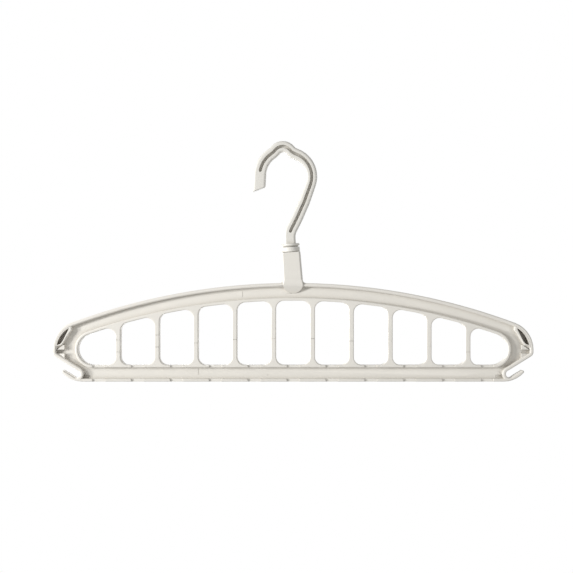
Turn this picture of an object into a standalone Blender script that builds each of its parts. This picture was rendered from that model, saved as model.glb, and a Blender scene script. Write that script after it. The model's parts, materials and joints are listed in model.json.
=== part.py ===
"""Multi-hole clothes hanger: a moulded lattice frame that turns under a swivel hook.

Lengths are in metres and angles in radians, +Z is up, +X is across the hanger and the front looks along -Y.
The world origin is the seat under the hook's crown, where the hanger rests on a rail.

The frame is drawn flat, in across and up, from the top of its arch. The flat outlines are given their
depth, joined, and cut. The hook is drawn as a walk of straight runs and arcs along its middle line.
"""

import itertools
import math

import bmesh
import bpy
from mathutils import Matrix, Vector

# Outline of the frame
FRAME_WIDTH = 0.450  # from tip to tip
FRAME_DEPTH = 0.012  # front to back over the flanges
SHOULDER_DROP = 0.0622  # top of the arch down to the widest point
SHOULDER_RADIUS = 0.0265  # the round shoulder at each end
CORNER_DROP = 0.0051  # widest point down to the corner under the shoulder
CORNER_RADIUS = 0.0050
SHOULDER_SLOPE = math.radians(32)  # of the shoulder's lower edge and of the strap notch
FLANGE_WIDTH = 0.0034  # the raised edge round the frame
FLANGE_BELOW = 0.0028  # the same edge along the bottom of the rail
WEB_THICKNESS = 0.0030  # the floor between the raised edges
WEB_BITE = 0.0006  # how far the web runs into them
EDGE_ROUNDING = 0.0009

# Strap notch and lip at each end
NOTCH_GAP = 0.0068
NOTCH_END_RADIUS = 0.0036  # the notch widens a little at its blind end
NOTCH_INSET = 0.0222  # tip of the frame in to the middle of the blind end
LIP_THICKNESS = 0.0036  # under the notch's blind end, which sets how low the rail lies
LIP_SWEEP_RADIUS = 0.0255
LIP_START_INSET = 0.0280  # tip of the frame in to where the rail starts to sweep up
LIP_TIP_RADIUS = 0.0013

# Row of holes, with the raised rim round it
HOLE_COUNT = 11
STRUT_WIDTH = 0.0048
HOLES_BELOW_ARCH = 0.0166
HOLE_CORNER_RADIUS = 0.0075
END_HOLE_INSET = 0.0238  # tip of the frame in to the round end of the last hole
END_HOLE_WIDTH = 0.0352  # the last hole from its strut to its round end
RAIL_HEIGHT = 0.0155  # the rail under the holes
RIM_WIDTH = 0.0028
RIM_BELOW = 0.0022  # the same rim along the rail
RIM_ROUNDING = 0.0007  # of the rim and its struts
RECESS_WIDTH = 0.0117  # a shallow step across the rail under each hole
RECESS_DEPTH = 0.0013

# Curved pocket, shelf and wedge inside each shoulder
POCKET_START = math.radians(10.4)
POCKET_END = math.radians(60.5)
POCKET_RIM = 0.0037  # outside the pocket, where the raised edge is wider
POCKET_WIDTH = 0.0042
POCKET_SKEW_share = 0.70  # below one, the widest place lies nearer the lower end
POCKET_BLUNT_share = 0.62  # below one, the ends are blunter than those of a crescent
POCKET_FLOOR = 0.0012
POCKET_WALL = 0.0018
SHELF_INSET = 0.0112  # tip of the frame in to the inner end of the shelf and the crest of the wedge
SHELF_DROP = 0.0010  # below the face of the raised edge
SHELF_BELOW_WIDEST = 0.0002
SHELF_HEIGHT = 0.0043
WEDGE_BELOW_WIDEST = 0.0040
WEDGE_HEIGHT = 0.0074
WEDGE_CREST = 0.0033  # above the floor of the web
WEDGE_FOOT = 0.0005

# Neck of the frame
NECK_LEAN = math.radians(4)  # the neck and the hook lean to the left
NECK_HEIGHT = 0.0289
NECK_WIDTH_TOP = 0.0178
NECK_WIDTH_ROOT = 0.0189
NECK_DEPTH = 0.0150
NECK_ROUNDING = 0.0016
NECK_FILLET = 0.0030
NECK_APRON_SIDE = 0.0004  # straight part of the apron below the arch
NECK_APRON_DROP = 0.0099  # where its sloped face runs out into the web
NECK_SLOPE_START = 0.0010  # above the arch, where the face starts to slope in

# Bush in the neck
RING_RADIUS = 0.00865
RING_HEIGHT = 0.0046
RING_ROUNDING = 0.0007
SLEEVE_RADIUS = 0.0055
SLEEVE_LENGTH = 0.0140
SEAT_GAP = 0.0003  # between pieces that touch, and round what turns

# Stem of the hook
STEM_RADIUS = 0.0030
DISC_RADIUS = 0.0087
DISC_THICKNESS = 0.0022
DISC_ROUNDING = 0.0006
DISC_GAP = 0.0009  # shows as a line between the disc and the ring
BOSS_STEP = 0.0013  # rim of the disc in to the boss that bears on the ring
HEAD_RADIUS = 0.0041
HEAD_LENGTH = 0.0046
HEAD_TIP_RADIUS = 0.0022
HEAD_SLOT_WIDTH = 0.0013
HEAD_SLOT_LENGTH = 0.0110
CHAMBER_SPARE = 0.0020  # free length under the head

# Arm of the hook, walked from the disc to the free end
SHANK_LENGTH = 0.0055
KICK_RADIUS, KICK_TURN = 0.0167, math.radians(-30.7)
ARM_LENGTH = 0.0105
BACK_RADIUS, BACK_TURN = 0.220, math.radians(9.1)
CROWN_RADIUS, CROWN_TURN = 0.0226, math.radians(88.3)
DIP_RADIUS, DIP_TURN = 0.0125, math.radians(-30.9)
BUMP_RADIUS, BUMP_TURN = 0.0088, math.radians(103.4)
FRONT_DIP_RADIUS, FRONT_DIP_TURN = 0.0131, math.radians(-19.7)
FRONT_RADIUS, FRONT_TURN = 0.0248, math.radians(53.5)
TIP_LENGTH = 0.0143
TIP_SLANT = math.radians(24)  # of the cut across the free end
SHANK_WIDTH = 0.0107
ARM_WIDTH = 0.0111
BACK_WIDTH = 0.0100
CROWN_WIDTH = 0.0106
TIP_WIDTH = 0.0119
HOOK_DEPTH = 0.0086
HOOK_ROUNDING = 0.0026
HOOK_FOOT = 0.0010  # how far the arm runs into the disc
GROOVE_WIDTH = 0.0029
GROOVE_DEPTH = 0.0030
GROOVE_DRAFT = 0.0003  # narrower at the bottom, on each side
GROOVE_START = 0.0103  # from the disc
GROOVE_STOP = 0.0165  # from the free end
GROOVE_TIP_share = 0.05  # of its end radius, where its end wall reaches the full depth
GROOVE_END_shares = (0, GROOVE_TIP_share, 0.4, 1)  # where sections stand in its round ends

# Fineness of the curves
FINE_STEP = math.radians(10)
ARCH_STEP = math.radians(0.9)
TURN_STEP = math.radians(9)
SECTION_STEP = math.radians(30)
CREASE = math.radians(32)  # sharper turns than this are shaded as edges
ROUND_SIDES = 32
OVERRUN = 0.002  # how far a cutter runs past what it cuts
FACE_STEP = 0.0001  # a joined block stays this much under the face it joins
WELD = 0.000001  # points closer than this are one
FLAT_ANGLE = math.radians(0.05)  # faces that turn less than this are one

# Colours of the mouldings
IVORY = (0.750, 0.716, 0.640, 1.0)
IVORY_HOOK = (0.735, 0.703, 0.632, 1.0)
SATIN_ROUGHNESS = 0.42

# Places that follow from the sizes, in across and up from the top of the arch
half_width = FRAME_WIDTH / 2
shoulder = Vector((half_width - SHOULDER_RADIUS, -SHOULDER_DROP))
arch_rise = SHOULDER_DROP - SHOULDER_RADIUS
arch_radius = (SHOULDER_DROP**2 + shoulder.x**2 - SHOULDER_RADIUS**2) / (2 * arch_rise)
arch_centre = Vector((0, -arch_radius))
corner = Vector((half_width, -SHOULDER_DROP - CORNER_DROP))
# Directions along the shoulder's lower edge, inwards, and square to it, away from the shoulder
edge_in = Vector((-math.cos(SHOULDER_SLOPE), -math.sin(SHOULDER_SLOPE)))
edge_down = Vector((math.sin(SHOULDER_SLOPE), -math.cos(SHOULDER_SLOPE)))
notch_run = (NOTCH_INSET + edge_down.x * NOTCH_GAP / 2) / math.cos(SHOULDER_SLOPE)
notch_end = corner + edge_in * notch_run + edge_down * (NOTCH_GAP / 2)
rail_bottom = notch_end.y - NOTCH_END_RADIUS - LIP_THICKNESS
holes_bottom = rail_bottom + RAIL_HEIGHT
hole_arch_centre = Vector((0, -HOLES_BELOW_ARCH - arch_radius))
hole_reach = half_width - END_HOLE_INSET
hole_pitch = (hole_reach - END_HOLE_WIDTH - STRUT_WIDTH / 2) / (HOLE_COUNT // 2 - 0.5)


def arc(centre, radius, start, end, step=FINE_STEP):
    """Points on a circle from one angle to another, both ends included."""
    count = max(1, math.ceil(abs(end - start) / step))
    angles = [start + (end - start) * i / count for i in range(count + 1)]
    return [centre + radius * Vector((math.cos(a), math.sin(a))) for a in angles]


def angle_of(vector):
    return math.atan2(vector.y, vector.x)


def reach_along(distance, radius):
    """Half the chord that a line cuts from a circle, at a distance from its centre."""
    return math.sqrt(radius**2 - distance**2)


def flipped(outline):
    """The same outline on the other side of the frame."""
    return [Vector((-p.x, p.y)) for p in reversed(outline)]


def mirrored(half):
    """A closed outline from its right half, which runs from the middle's top to the middle's bottom."""
    return half + [p for p in flipped(half) if p.x < -WELD]


def shoulder_half(inset):
    """The arch, the shoulder and its corner on the right, drawn in by an inset."""
    meet = angle_of(shoulder - arch_centre)
    corner_run = CORNER_RADIUS * math.tan((math.pi / 2 - SHOULDER_SLOPE) / 2)
    corner_centre = corner + Vector((-CORNER_RADIUS, corner_run))
    points = arc(arch_centre, arch_radius - inset, math.pi / 2, meet, ARCH_STEP)
    points += arc(shoulder, SHOULDER_RADIUS - inset, meet, 0)[1:]
    return points + arc(corner_centre, CORNER_RADIUS - inset, 0, SHOULDER_SLOPE - math.pi / 2)


def frame_outline():
    """The whole silhouette of the frame, with the strap notches and the lips under them."""
    half_gap = NOTCH_GAP / 2
    neck_in = -edge_in * reach_along(half_gap, NOTCH_END_RADIUS)
    upper = neck_in - edge_down * half_gap
    lower = neck_in + edge_down * half_gap
    points = shoulder_half(0)
    points += arc(notch_end, NOTCH_END_RADIUS, angle_of(upper), angle_of(lower) + math.tau)
    # The lip's round tip touches the notch's lower side and the sweep of the rail.
    sweep = Vector((half_width - LIP_START_INSET, rail_bottom + LIP_SWEEP_RADIUS))
    start = notch_end + edge_down * (half_gap + LIP_TIP_RADIUS)
    along = (sweep - start).dot(-edge_in)
    aside = (sweep - start - along * -edge_in).length
    tip = start - edge_in * (along + reach_along(aside, LIP_SWEEP_RADIUS - LIP_TIP_RADIUS))
    touch = angle_of(tip - sweep)
    points += arc(tip, LIP_TIP_RADIUS, angle_of(-edge_down), touch, FINE_STEP * 2)
    points += arc(sweep, LIP_SWEEP_RADIUS, touch, -math.pi / 2)[1:]
    return mirrored(points + [Vector((0, rail_bottom))])


def channel_outline(bite):
    """The inner side of the raised edge, which bends in round the blind ends of the notches.

    A bite draws it further out, under the raised edge.
    """
    inset = FLANGE_WIDTH - bite
    radius = NOTCH_END_RADIUS + inset
    distance = NOTCH_GAP / 2 + inset
    leave = -edge_in * reach_along(distance, radius) - edge_down * distance
    floor = rail_bottom + FLANGE_BELOW - bite
    meet = math.pi - math.asin((floor - notch_end.y) / radius)
    points = shoulder_half(inset)
    points += arc(notch_end, radius, angle_of(leave), meet)
    return mirrored(points + [Vector((0, floor))])


def end_hole_circle():
    """The circle that ends the row of holes, touching their arch, their bottom and their reach."""
    fall = arch_radius + HOLES_BELOW_ARCH + holes_bottom
    half_sum = arch_radius + fall - hole_reach
    radius = math.sqrt(half_sum**2 - hole_reach**2 - fall**2 + arch_radius**2) - half_sum
    return Vector((hole_reach - radius, holes_bottom + radius)), radius


def rim_outline(bite):
    """The outer side of the rim round all the holes. A bite draws it further in, under the rim."""
    centre, radius = end_hole_circle()
    meet = angle_of(centre - hole_arch_centre)
    grow = RIM_WIDTH - bite
    low = holes_bottom - RIM_BELOW + bite
    leave = math.asin((low - centre.y) / (radius + grow))
    points = arc(hole_arch_centre, arch_radius + grow, math.pi / 2, meet, ARCH_STEP)
    points += arc(centre, radius + grow, meet, leave)[1:]
    return mirrored(points + [Vector((0, low))])


def hole_outline(index):
    """One hole of the row, counted from the middle. The first and last have a round end."""
    if index < 0:
        return flipped(hole_outline(-index))
    corner_radius = HOLE_CORNER_RADIUS
    left = index * hole_pitch - (hole_pitch - STRUT_WIDTH) / 2 + corner_radius
    right = left + hole_pitch - STRUT_WIDTH - 2 * corner_radius
    low = holes_bottom + corner_radius
    inner = arch_radius - corner_radius

    def top_corner(across):
        return Vector((across, hole_arch_centre.y + math.sqrt(inner**2 - across**2)))

    upper_left = top_corner(left)
    leave = angle_of(upper_left - hole_arch_centre)
    points = arc(upper_left, corner_radius, math.pi, leave)
    if index == HOLE_COUNT // 2:
        centre, radius = end_hole_circle()
        meet = angle_of(centre - hole_arch_centre)
        points += arc(hole_arch_centre, arch_radius, leave, meet, ARCH_STEP)[1:]
        points += arc(centre, radius, meet, -math.pi / 2)[1:]
    else:
        upper_right = top_corner(right)
        meet = angle_of(upper_right - hole_arch_centre)
        points += arc(hole_arch_centre, arch_radius, leave, meet, ARCH_STEP)[1:]
        points += arc(upper_right, corner_radius, meet, 0)[1:]
        points += arc(Vector((right, low)), corner_radius, 0, -math.pi / 2)
    return points + arc(Vector((left, low)), corner_radius, -math.pi / 2, -math.pi)


def hole_indices():
    return range(-(HOLE_COUNT // 2), HOLE_COUNT // 2 + 1)


def pocket_outline(wall):
    """The curved pocket behind the shoulder's raised edge, or with a wall the block that holds it."""
    back = SHOULDER_RADIUS - POCKET_RIM
    spare = wall / back
    start, end = POCKET_START - spare, POCKET_END + 2 * spare
    outer = arc(shoulder, back + wall, start, end, TURN_STEP / 2)
    count = len(outer) - 1
    inner = []
    for i in range(1, count):
        share = i / count
        bulge = math.sin(math.pi * share**POCKET_SKEW_share) ** POCKET_BLUNT_share
        width = wall + POCKET_WIDTH * bulge
        angle = start + (end - start) * share
        inner.append(shoulder + (back - width) * Vector((math.cos(angle), math.sin(angle))))
    return outer + inner[::-1]


def neck_outline():
    """The neck from above its top down to the rounded apron, before it leans."""
    top, root = NECK_WIDTH_TOP / 2, NECK_WIDTH_ROOT / 2
    apron = NECK_APRON_DROP - NECK_APRON_SIDE
    above = NECK_HEIGHT + OVERRUN
    points = [Vector((top, above)), Vector((top, NECK_HEIGHT)), Vector((root, 0))]
    for p in arc(Vector((0, 0)), root, 0, -math.pi):
        points.append(Vector((p.x, p.y * apron / root - NECK_APRON_SIDE)))
    return points + [Vector((-root, 0)), Vector((-top, NECK_HEIGHT)), Vector((-top, above))]


def neck_root_outline():
    """The fillets on both sides where the leaning neck meets the arch."""
    side = NECK_WIDTH_ROOT / 2
    lean_sin, lean_cos = math.sin(NECK_LEAN), math.cos(NECK_LEAN)
    right = Vector((side + NECK_FILLET * (1 - lean_sin) / lean_cos, NECK_FILLET))
    left = Vector((-side - NECK_FILLET * (1 + lean_sin) / lean_cos, NECK_FILLET))
    for centre in (right, left):
        centre.y -= arch_radius - reach_along(centre.x, arch_radius)
    points = arc(right, NECK_FILLET, math.pi + NECK_LEAN, math.pi * 3 / 2)
    buried = Vector((0, -FLANGE_WIDTH / 2))
    points += [points[-1] + buried]
    fillet = arc(left, NECK_FILLET, -math.pi / 2, NECK_LEAN)
    return points + [fillet[0] + buried] + fillet


def new_material(name, colour):
    """A satin moulded plastic."""
    material = bpy.data.materials.new(name)
    material.use_nodes = True
    shader = material.node_tree.nodes["Principled BSDF"]
    shader.inputs["Base Color"].default_value = colour
    shader.inputs["Roughness"].default_value = SATIN_ROUGHNESS
    shader.inputs["Metallic"].default_value = 0
    return material


def new_object(name, mesh):
    piece = bpy.data.objects.new(name, mesh)
    bpy.context.scene.collection.objects.link(piece)
    return piece


def join_flat_faces(bm):
    """Leave only the edges that the shape needs."""
    bmesh.ops.dissolve_limit(bm, angle_limit=FLAT_ANGLE, verts=bm.verts, edges=bm.edges)


def prism(name, outlines, depth, rounding):
    """Flat outlines, the first with the others as holes, given a depth and rounded front and back edges."""
    curve = bpy.data.curves.new(name, "CURVE")
    curve.dimensions = "2D"
    curve.fill_mode = "BOTH"
    curve.extrude = depth / 2 - rounding
    curve.bevel_depth = rounding
    curve.bevel_resolution = 0
    curve.offset = -rounding
    for outline in outlines:
        spline = curve.splines.new("POLY")
        spline.points.add(len(outline) - 1)
        for point, place in zip(spline.points, outline):
            point.co = (place.x, place.y, 0, 1)
        spline.use_cyclic_u = True
    flat = new_object(name, curve)
    mesh = bpy.data.meshes.new_from_object(flat.evaluated_get(bpy.context.evaluated_depsgraph_get()))
    bpy.data.objects.remove(flat)
    bm = bmesh.new()
    bm.from_mesh(mesh)
    bmesh.ops.remove_doubles(bm, verts=bm.verts, dist=WELD)
    join_flat_faces(bm)
    bmesh.ops.recalc_face_normals(bm, faces=bm.faces)
    bm.transform(Matrix.Rotation(math.pi / 2, 4, "X"))
    bm.to_mesh(mesh)
    bm.free()
    return new_object(name, mesh)


def hull(name, points):
    """The convex solid round some points."""
    bm = bmesh.new()
    for point in points:
        bm.verts.new(point)
    bmesh.ops.convex_hull(bm, input=bm.verts)
    bmesh.ops.recalc_face_normals(bm, faces=bm.faces)
    mesh = bpy.data.meshes.new(name)
    bm.to_mesh(mesh)
    bm.free()
    return new_object(name, mesh)


def box(name, low, high):
    """A plain block between two corners."""
    return hull(name, itertools.product(*zip(low, high)))


def lathe(name, profile, closed=False):
    """A solid turned about Z. An open profile ends on the axis, and a closed one goes round a bore."""
    bm = bmesh.new()
    rings = []
    for radius, height in profile:
        if radius == 0:
            rings.append([bm.verts.new((0, 0, height))] * ROUND_SIDES)
            continue
        turns = [math.tau * i / ROUND_SIDES for i in range(ROUND_SIDES)]
        rings.append([bm.verts.new((radius * math.cos(t), radius * math.sin(t), height)) for t in turns])
    pairs = list(zip(rings, rings[1:])) + ([(rings[-1], rings[0])] if closed else [])
    for upper, lower in pairs:
        for i in range(ROUND_SIDES):
            j = (i + 1) % ROUND_SIDES
            corners = dict.fromkeys((upper[i], lower[i], lower[j], upper[j]))
            bm.faces.new(list(corners))
    bmesh.ops.recalc_face_normals(bm, faces=bm.faces)
    mesh = bpy.data.meshes.new(name)
    bm.to_mesh(mesh)
    bm.free()
    return new_object(name, mesh)


def combine(piece, others, operation):
    """Join other solids to a piece, or cut them out of it, and weld the points that fall together."""
    group = bpy.data.collections.new(operation)
    bpy.context.scene.collection.children.link(group)
    for other in others:
        group.objects.link(other)
    modifier = piece.modifiers.new(operation, "BOOLEAN")
    modifier.operation = operation
    modifier.solver = "EXACT"
    modifier.operand_type = "COLLECTION"
    modifier.collection = group
    bpy.context.view_layer.update()
    mesh = bpy.data.meshes.new_from_object(piece.evaluated_get(bpy.context.evaluated_depsgraph_get()))
    piece.modifiers.clear()
    for other in others:
        bpy.data.objects.remove(other)
    bpy.data.collections.remove(group)
    bm = bmesh.new()
    bm.from_mesh(mesh)
    bmesh.ops.remove_doubles(bm, verts=bm.verts, dist=WELD)
    join_flat_faces(bm)
    bm.to_mesh(mesh)
    bm.free()
    piece.data = mesh


def finish(piece, material):
    """Smooth shading with sharp creases, and the material."""
    piece.data.materials.clear()
    piece.data.materials.append(material)
    piece.data.shade_smooth()
    piece.data.set_sharp_from_angle(angle=CREASE)


def make_frame():
    """The one-piece moulding: raised edge, web, rim with its holes and struts, shoulders and neck."""
    holes = [hole_outline(i) for i in hole_indices()]
    flange_edges = [frame_outline(), channel_outline(0)]
    frame = prism("hanger_frame", flange_edges, FRAME_DEPTH, EDGE_ROUNDING)
    rim = prism("rim", [rim_outline(0)] + holes, FRAME_DEPTH, RIM_ROUNDING)
    web_edges = [channel_outline(WEB_BITE), rim_outline(WEB_BITE)]
    web = prism("web", web_edges, WEB_THICKNESS, 0)
    joined = [rim, web, make_neck()]
    joined.append(prism("neck_root", [neck_root_outline()], FRAME_DEPTH - 2 * EDGE_ROUNDING, 0))
    cuts = [make_bore(), make_neck_trim()]
    for side in (1, -1):
        joined += shoulder_blocks(side)
        cuts.append(shoulder_pocket(side))
    combine(frame, joined, "UNION")
    combine(frame, cuts + rail_recesses(), "DIFFERENCE")
    return frame


def on_side(outline, side):
    return outline if side > 0 else flipped(outline)


def shoulder_blocks(side):
    """The pocket's block, the low shelf beside it and the wedge in the lower corner."""
    pocket = on_side(pocket_outline(POCKET_WALL), side)
    block = prism("pocket_block", [pocket], FRAME_DEPTH - 2 * FACE_STEP, EDGE_ROUNDING)
    inner = half_width - SHELF_INSET
    outer = half_width - FLANGE_WIDTH / 2
    shelf_low = -SHOULDER_DROP - SHELF_BELOW_WIDEST
    shelf_half = FRAME_DEPTH / 2 - SHELF_DROP
    across = sorted((side * inner, side * outer))
    shelf_top = shelf_low + SHELF_HEIGHT
    shelf = box("shelf", (across[0], -shelf_half, shelf_low), (across[1], shelf_half, shelf_top))
    wedge_top = -SHOULDER_DROP - WEDGE_BELOW_WIDEST
    crest = WEB_THICKNESS / 2 + WEDGE_CREST
    foot = WEB_THICKNESS / 2 + WEDGE_FOOT
    reach = half_width - FLANGE_WIDTH
    corners = [(inner, crest, wedge_top), (inner, crest, wedge_top - WEDGE_HEIGHT)]
    corners += [(reach, foot, wedge_top), (reach, foot, wedge_top - FLANGE_WIDTH)]
    wedge = hull("wedge", [(side * x, y * front, z) for x, y, z in corners for front in (1, -1)])
    return [block, shelf, wedge]


def shoulder_pocket(side):
    """The deep curved pocket, open to the front only."""
    pocket = prism("pocket", [on_side(pocket_outline(0), side)], FRAME_DEPTH + OVERRUN, 0)
    pocket.data.transform(Matrix.Translation((0, -OVERRUN / 2 - POCKET_FLOOR, 0)))
    return pocket


def rail_recesses():
    """Shallow steps across the rail, front and back, under the middle of every hole."""
    steps = []
    face = FRAME_DEPTH / 2
    for index in hole_indices():
        left = index * hole_pitch - RECESS_WIDTH / 2
        for near, far in ((-face - OVERRUN, RECESS_DEPTH - face), (face - RECESS_DEPTH, face + OVERRUN)):
            low = (left, near, rail_bottom - OVERRUN)
            high = (left + RECESS_WIDTH, far, holes_bottom + OVERRUN)
            steps.append(box("recess", low, high))
    return steps


def apron_slope(front):
    """Cuts the apron back, so that its face slopes in from the neck's to the web's."""
    reach = NECK_DEPTH
    face, floor = NECK_DEPTH / 2, WEB_THICKNESS / 2
    fall = (face - floor) / (NECK_APRON_DROP + NECK_SLOPE_START)
    corners = [(face + OVERRUN, NECK_SLOPE_START + OVERRUN / fall)]
    corners.append((floor - OVERRUN * fall, -NECK_APRON_DROP - OVERRUN))
    corners.append((face + OVERRUN, -NECK_APRON_DROP - OVERRUN))
    return hull("apron_slope", [(x, -front * y, z) for y, z in corners for x in (-reach, reach)])


def make_neck():
    """The flat-faced neck with its sloped apron, leaning about the top of the arch."""
    neck = prism("neck", [neck_outline()], NECK_DEPTH, NECK_ROUNDING)
    combine(neck, [apron_slope(1), apron_slope(-1)], "DIFFERENCE")
    neck.data.transform(Matrix.Rotation(-NECK_LEAN, 4, "Y"))
    return neck


def make_neck_trim():
    """Cuts the neck's top flat, above which its rounded edges run on."""
    reach = NECK_DEPTH
    trim = box("neck_trim", (-reach, -reach, NECK_HEIGHT), (reach, reach, NECK_HEIGHT + 2 * OVERRUN))
    trim.data.transform(Matrix.Rotation(-NECK_LEAN, 4, "Y"))
    return trim


def make_bore():
    """The blind bore down the neck, for the bush and the head of the stem."""
    radius = SLEEVE_RADIUS + SEAT_GAP
    bottom = NECK_HEIGHT - SLEEVE_LENGTH - SEAT_GAP - HEAD_LENGTH - CHAMBER_SPARE
    top = NECK_HEIGHT + OVERRUN
    bore = lathe("bore", [(0, top), (radius, top), (radius, bottom), (0, bottom)])
    bore.data.transform(Matrix.Rotation(-NECK_LEAN, 4, "Y"))
    return bore


def make_bush():
    """The flanged bush, from the top of its ring down. Its ring shows between the neck and the hook."""
    bore = STEM_RADIUS + SEAT_GAP
    edge = RING_ROUNDING
    bottom = -RING_HEIGHT - SLEEVE_LENGTH
    profile = [(bore + edge, 0), (RING_RADIUS - edge, 0), (RING_RADIUS, -edge)]
    profile += [(RING_RADIUS, edge - RING_HEIGHT), (RING_RADIUS - edge, -RING_HEIGHT)]
    profile += [(SLEEVE_RADIUS, -RING_HEIGHT), (SLEEVE_RADIUS, bottom + edge)]
    profile += [(SLEEVE_RADIUS - edge, bottom), (bore, bottom), (bore, -edge)]
    return lathe("neck_bush", profile, closed=True)


def hook_runs():
    """The hook's middle line from the disc: the length, turn and end width of each run."""
    yield SHANK_LENGTH, 0, SHANK_WIDTH
    yield KICK_RADIUS * abs(KICK_TURN), KICK_TURN, ARM_WIDTH
    yield ARM_LENGTH, 0, ARM_WIDTH
    yield BACK_RADIUS * abs(BACK_TURN), BACK_TURN, BACK_WIDTH
    yield CROWN_RADIUS * abs(CROWN_TURN), CROWN_TURN, CROWN_WIDTH
    yield DIP_RADIUS * abs(DIP_TURN), DIP_TURN, CROWN_WIDTH
    yield BUMP_RADIUS * abs(BUMP_TURN), BUMP_TURN, CROWN_WIDTH
    yield FRONT_DIP_RADIUS * abs(FRONT_DIP_TURN), FRONT_DIP_TURN, CROWN_WIDTH
    yield FRONT_RADIUS * abs(FRONT_TURN), FRONT_TURN, TIP_WIDTH
    yield TIP_LENGTH, 0, TIP_WIDTH


def hook_at(distance):
    """The place, heading and width of the hook's middle line at a distance from the disc."""
    place, heading, width = Vector((0, 0)), math.pi / 2, SHANK_WIDTH
    for length, turn, end_width in hook_runs():
        run = min(distance, length)
        turned = turn * run / length
        chord = run if turn == 0 else 2 * length / turn * math.sin(turned / 2)
        toward = heading + turned / 2
        place = place + chord * Vector((math.cos(toward), math.sin(toward)))
        heading += turned
        width += (end_width - width) * run / length
        distance -= run
        if distance <= 0:
            break
    return place, heading, width


def hook_length():
    return sum(length for length, turn, width in hook_runs())


def hook_stations():
    """Distances along the hook where a section stands: at bends, and at the groove's two round ends."""
    stations, done = [0], 0
    for length, turn, width in hook_runs():
        count = max(1, math.ceil(abs(turn) / TURN_STEP))
        stations += [done + length * (i + 1) / count for i in range(count)]
        done += length
    for end_share in GROOVE_END_shares:
        inside = end_share * GROOVE_WIDTH / 2
        stations += [GROOVE_START + inside, done - GROOVE_STOP - inside]
    return sorted(stations)


def groove_at(distance):
    """Half the groove's width and its depth at a distance along the hook."""
    radius = GROOVE_WIDTH / 2
    tip = radius * GROOVE_TIP_share
    inside = min(distance - GROOVE_START, hook_length() - GROOVE_STOP - distance)
    near = min(max(inside, tip), radius)
    return reach_along(radius - near, radius), GROOVE_DEPTH if inside > tip / 2 else 0


def hook_section(width, groove_half, groove_depth):
    """A rounded section with a groove in its front and back, as across and depth."""
    half, deep = width / 2, HOOK_DEPTH / 2
    draft = min(GROOVE_DRAFT, groove_half / 2)
    corner_centre = Vector((half - HOOK_ROUNDING, deep - HOOK_ROUNDING))
    quarter = arc(corner_centre, HOOK_ROUNDING, 0, math.pi / 2, SECTION_STEP)
    groove = [Vector((groove_half, deep)), Vector((groove_half - draft, deep - groove_depth))]
    side = quarter + groove
    back = side + [Vector((-p.x, p.y)) for p in reversed(side)]
    return back + [Vector((-p.x, -p.y)) for p in back]


def make_hook_arm():
    """The grooved arm of the hook, swept along its middle line."""
    bm = bmesh.new()
    rings = []
    total = hook_length()
    for distance in hook_stations():
        place, heading, width = hook_at(distance)
        forward = Vector((math.cos(heading), math.sin(heading)))
        right = Vector((forward.y, -forward.x))
        slant = math.tan(TIP_SLANT) if distance == total else 0
        foot = HOOK_FOOT if distance == 0 else 0
        ring = []
        for point in hook_section(width, *groove_at(distance)):
            spot = place + right * point.x + forward * (point.x * slant - foot)
            ring.append(bm.verts.new((spot.x, point.y, spot.y)))
        rings.append(ring)
    count = len(rings[0])
    for lower, upper in zip(rings, rings[1:]):
        for i in range(count):
            j = (i + 1) % count
            bm.faces.new((lower[i], lower[j], upper[j], upper[i]))
    bm.faces.new(rings[0])
    bm.faces.new(rings[-1])
    bmesh.ops.recalc_face_normals(bm, faces=bm.faces)
    mesh = bpy.data.meshes.new("swivel_hook")
    bm.to_mesh(mesh)
    bm.free()
    return new_object("swivel_hook", mesh)


def make_hook_foot():
    """The disc, its boss, the stem and the split head that snaps in under the bush."""
    shoulder_height = -DISC_THICKNESS - DISC_GAP - RING_HEIGHT - SLEEVE_LENGTH - SEAT_GAP
    tip = shoulder_height - HEAD_LENGTH
    edge = DISC_ROUNDING
    profile = [(0, 0), (DISC_RADIUS - edge, 0), (DISC_RADIUS, -edge)]
    profile += [(DISC_RADIUS, edge - DISC_THICKNESS), (DISC_RADIUS - edge, -DISC_THICKNESS)]
    boss = DISC_RADIUS - BOSS_STEP
    boss_foot = SEAT_GAP - DISC_GAP - DISC_THICKNESS
    profile += [(boss, -DISC_THICKNESS), (boss, boss_foot)]
    profile += [(STEM_RADIUS, boss_foot), (STEM_RADIUS, shoulder_height)]
    profile += [(HEAD_RADIUS, shoulder_height), (HEAD_RADIUS, shoulder_height - edge)]
    profile += [(HEAD_TIP_RADIUS, tip), (0, tip)]
    foot = lathe("hook_foot", profile)
    half_slot = HEAD_SLOT_WIDTH / 2
    reach = HEAD_RADIUS + OVERRUN
    slot = box("slot", (-half_slot, -reach, tip - OVERRUN), (half_slot, reach, tip + HEAD_SLOT_LENGTH))
    combine(foot, [slot], "DIFFERENCE")
    return foot


def make_hook():
    hook = make_hook_arm()
    combine(hook, [make_hook_foot()], "UNION")
    return hook


def bump_seat():
    """The place under the highest point of the crown's bump, from the disc, in world directions."""
    done = 0
    for length, turn, width in hook_runs():
        if turn == BUMP_TURN:
            break
        done += length
    place, heading, width = hook_at(done)
    centre = place + BUMP_RADIUS * Vector((-math.sin(heading), math.cos(heading)))
    leaned = Matrix.Rotation(NECK_LEAN, 2) @ centre
    return Vector((leaned.x, 0, leaned.y + BUMP_RADIUS - CROWN_WIDTH / 2))


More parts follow.
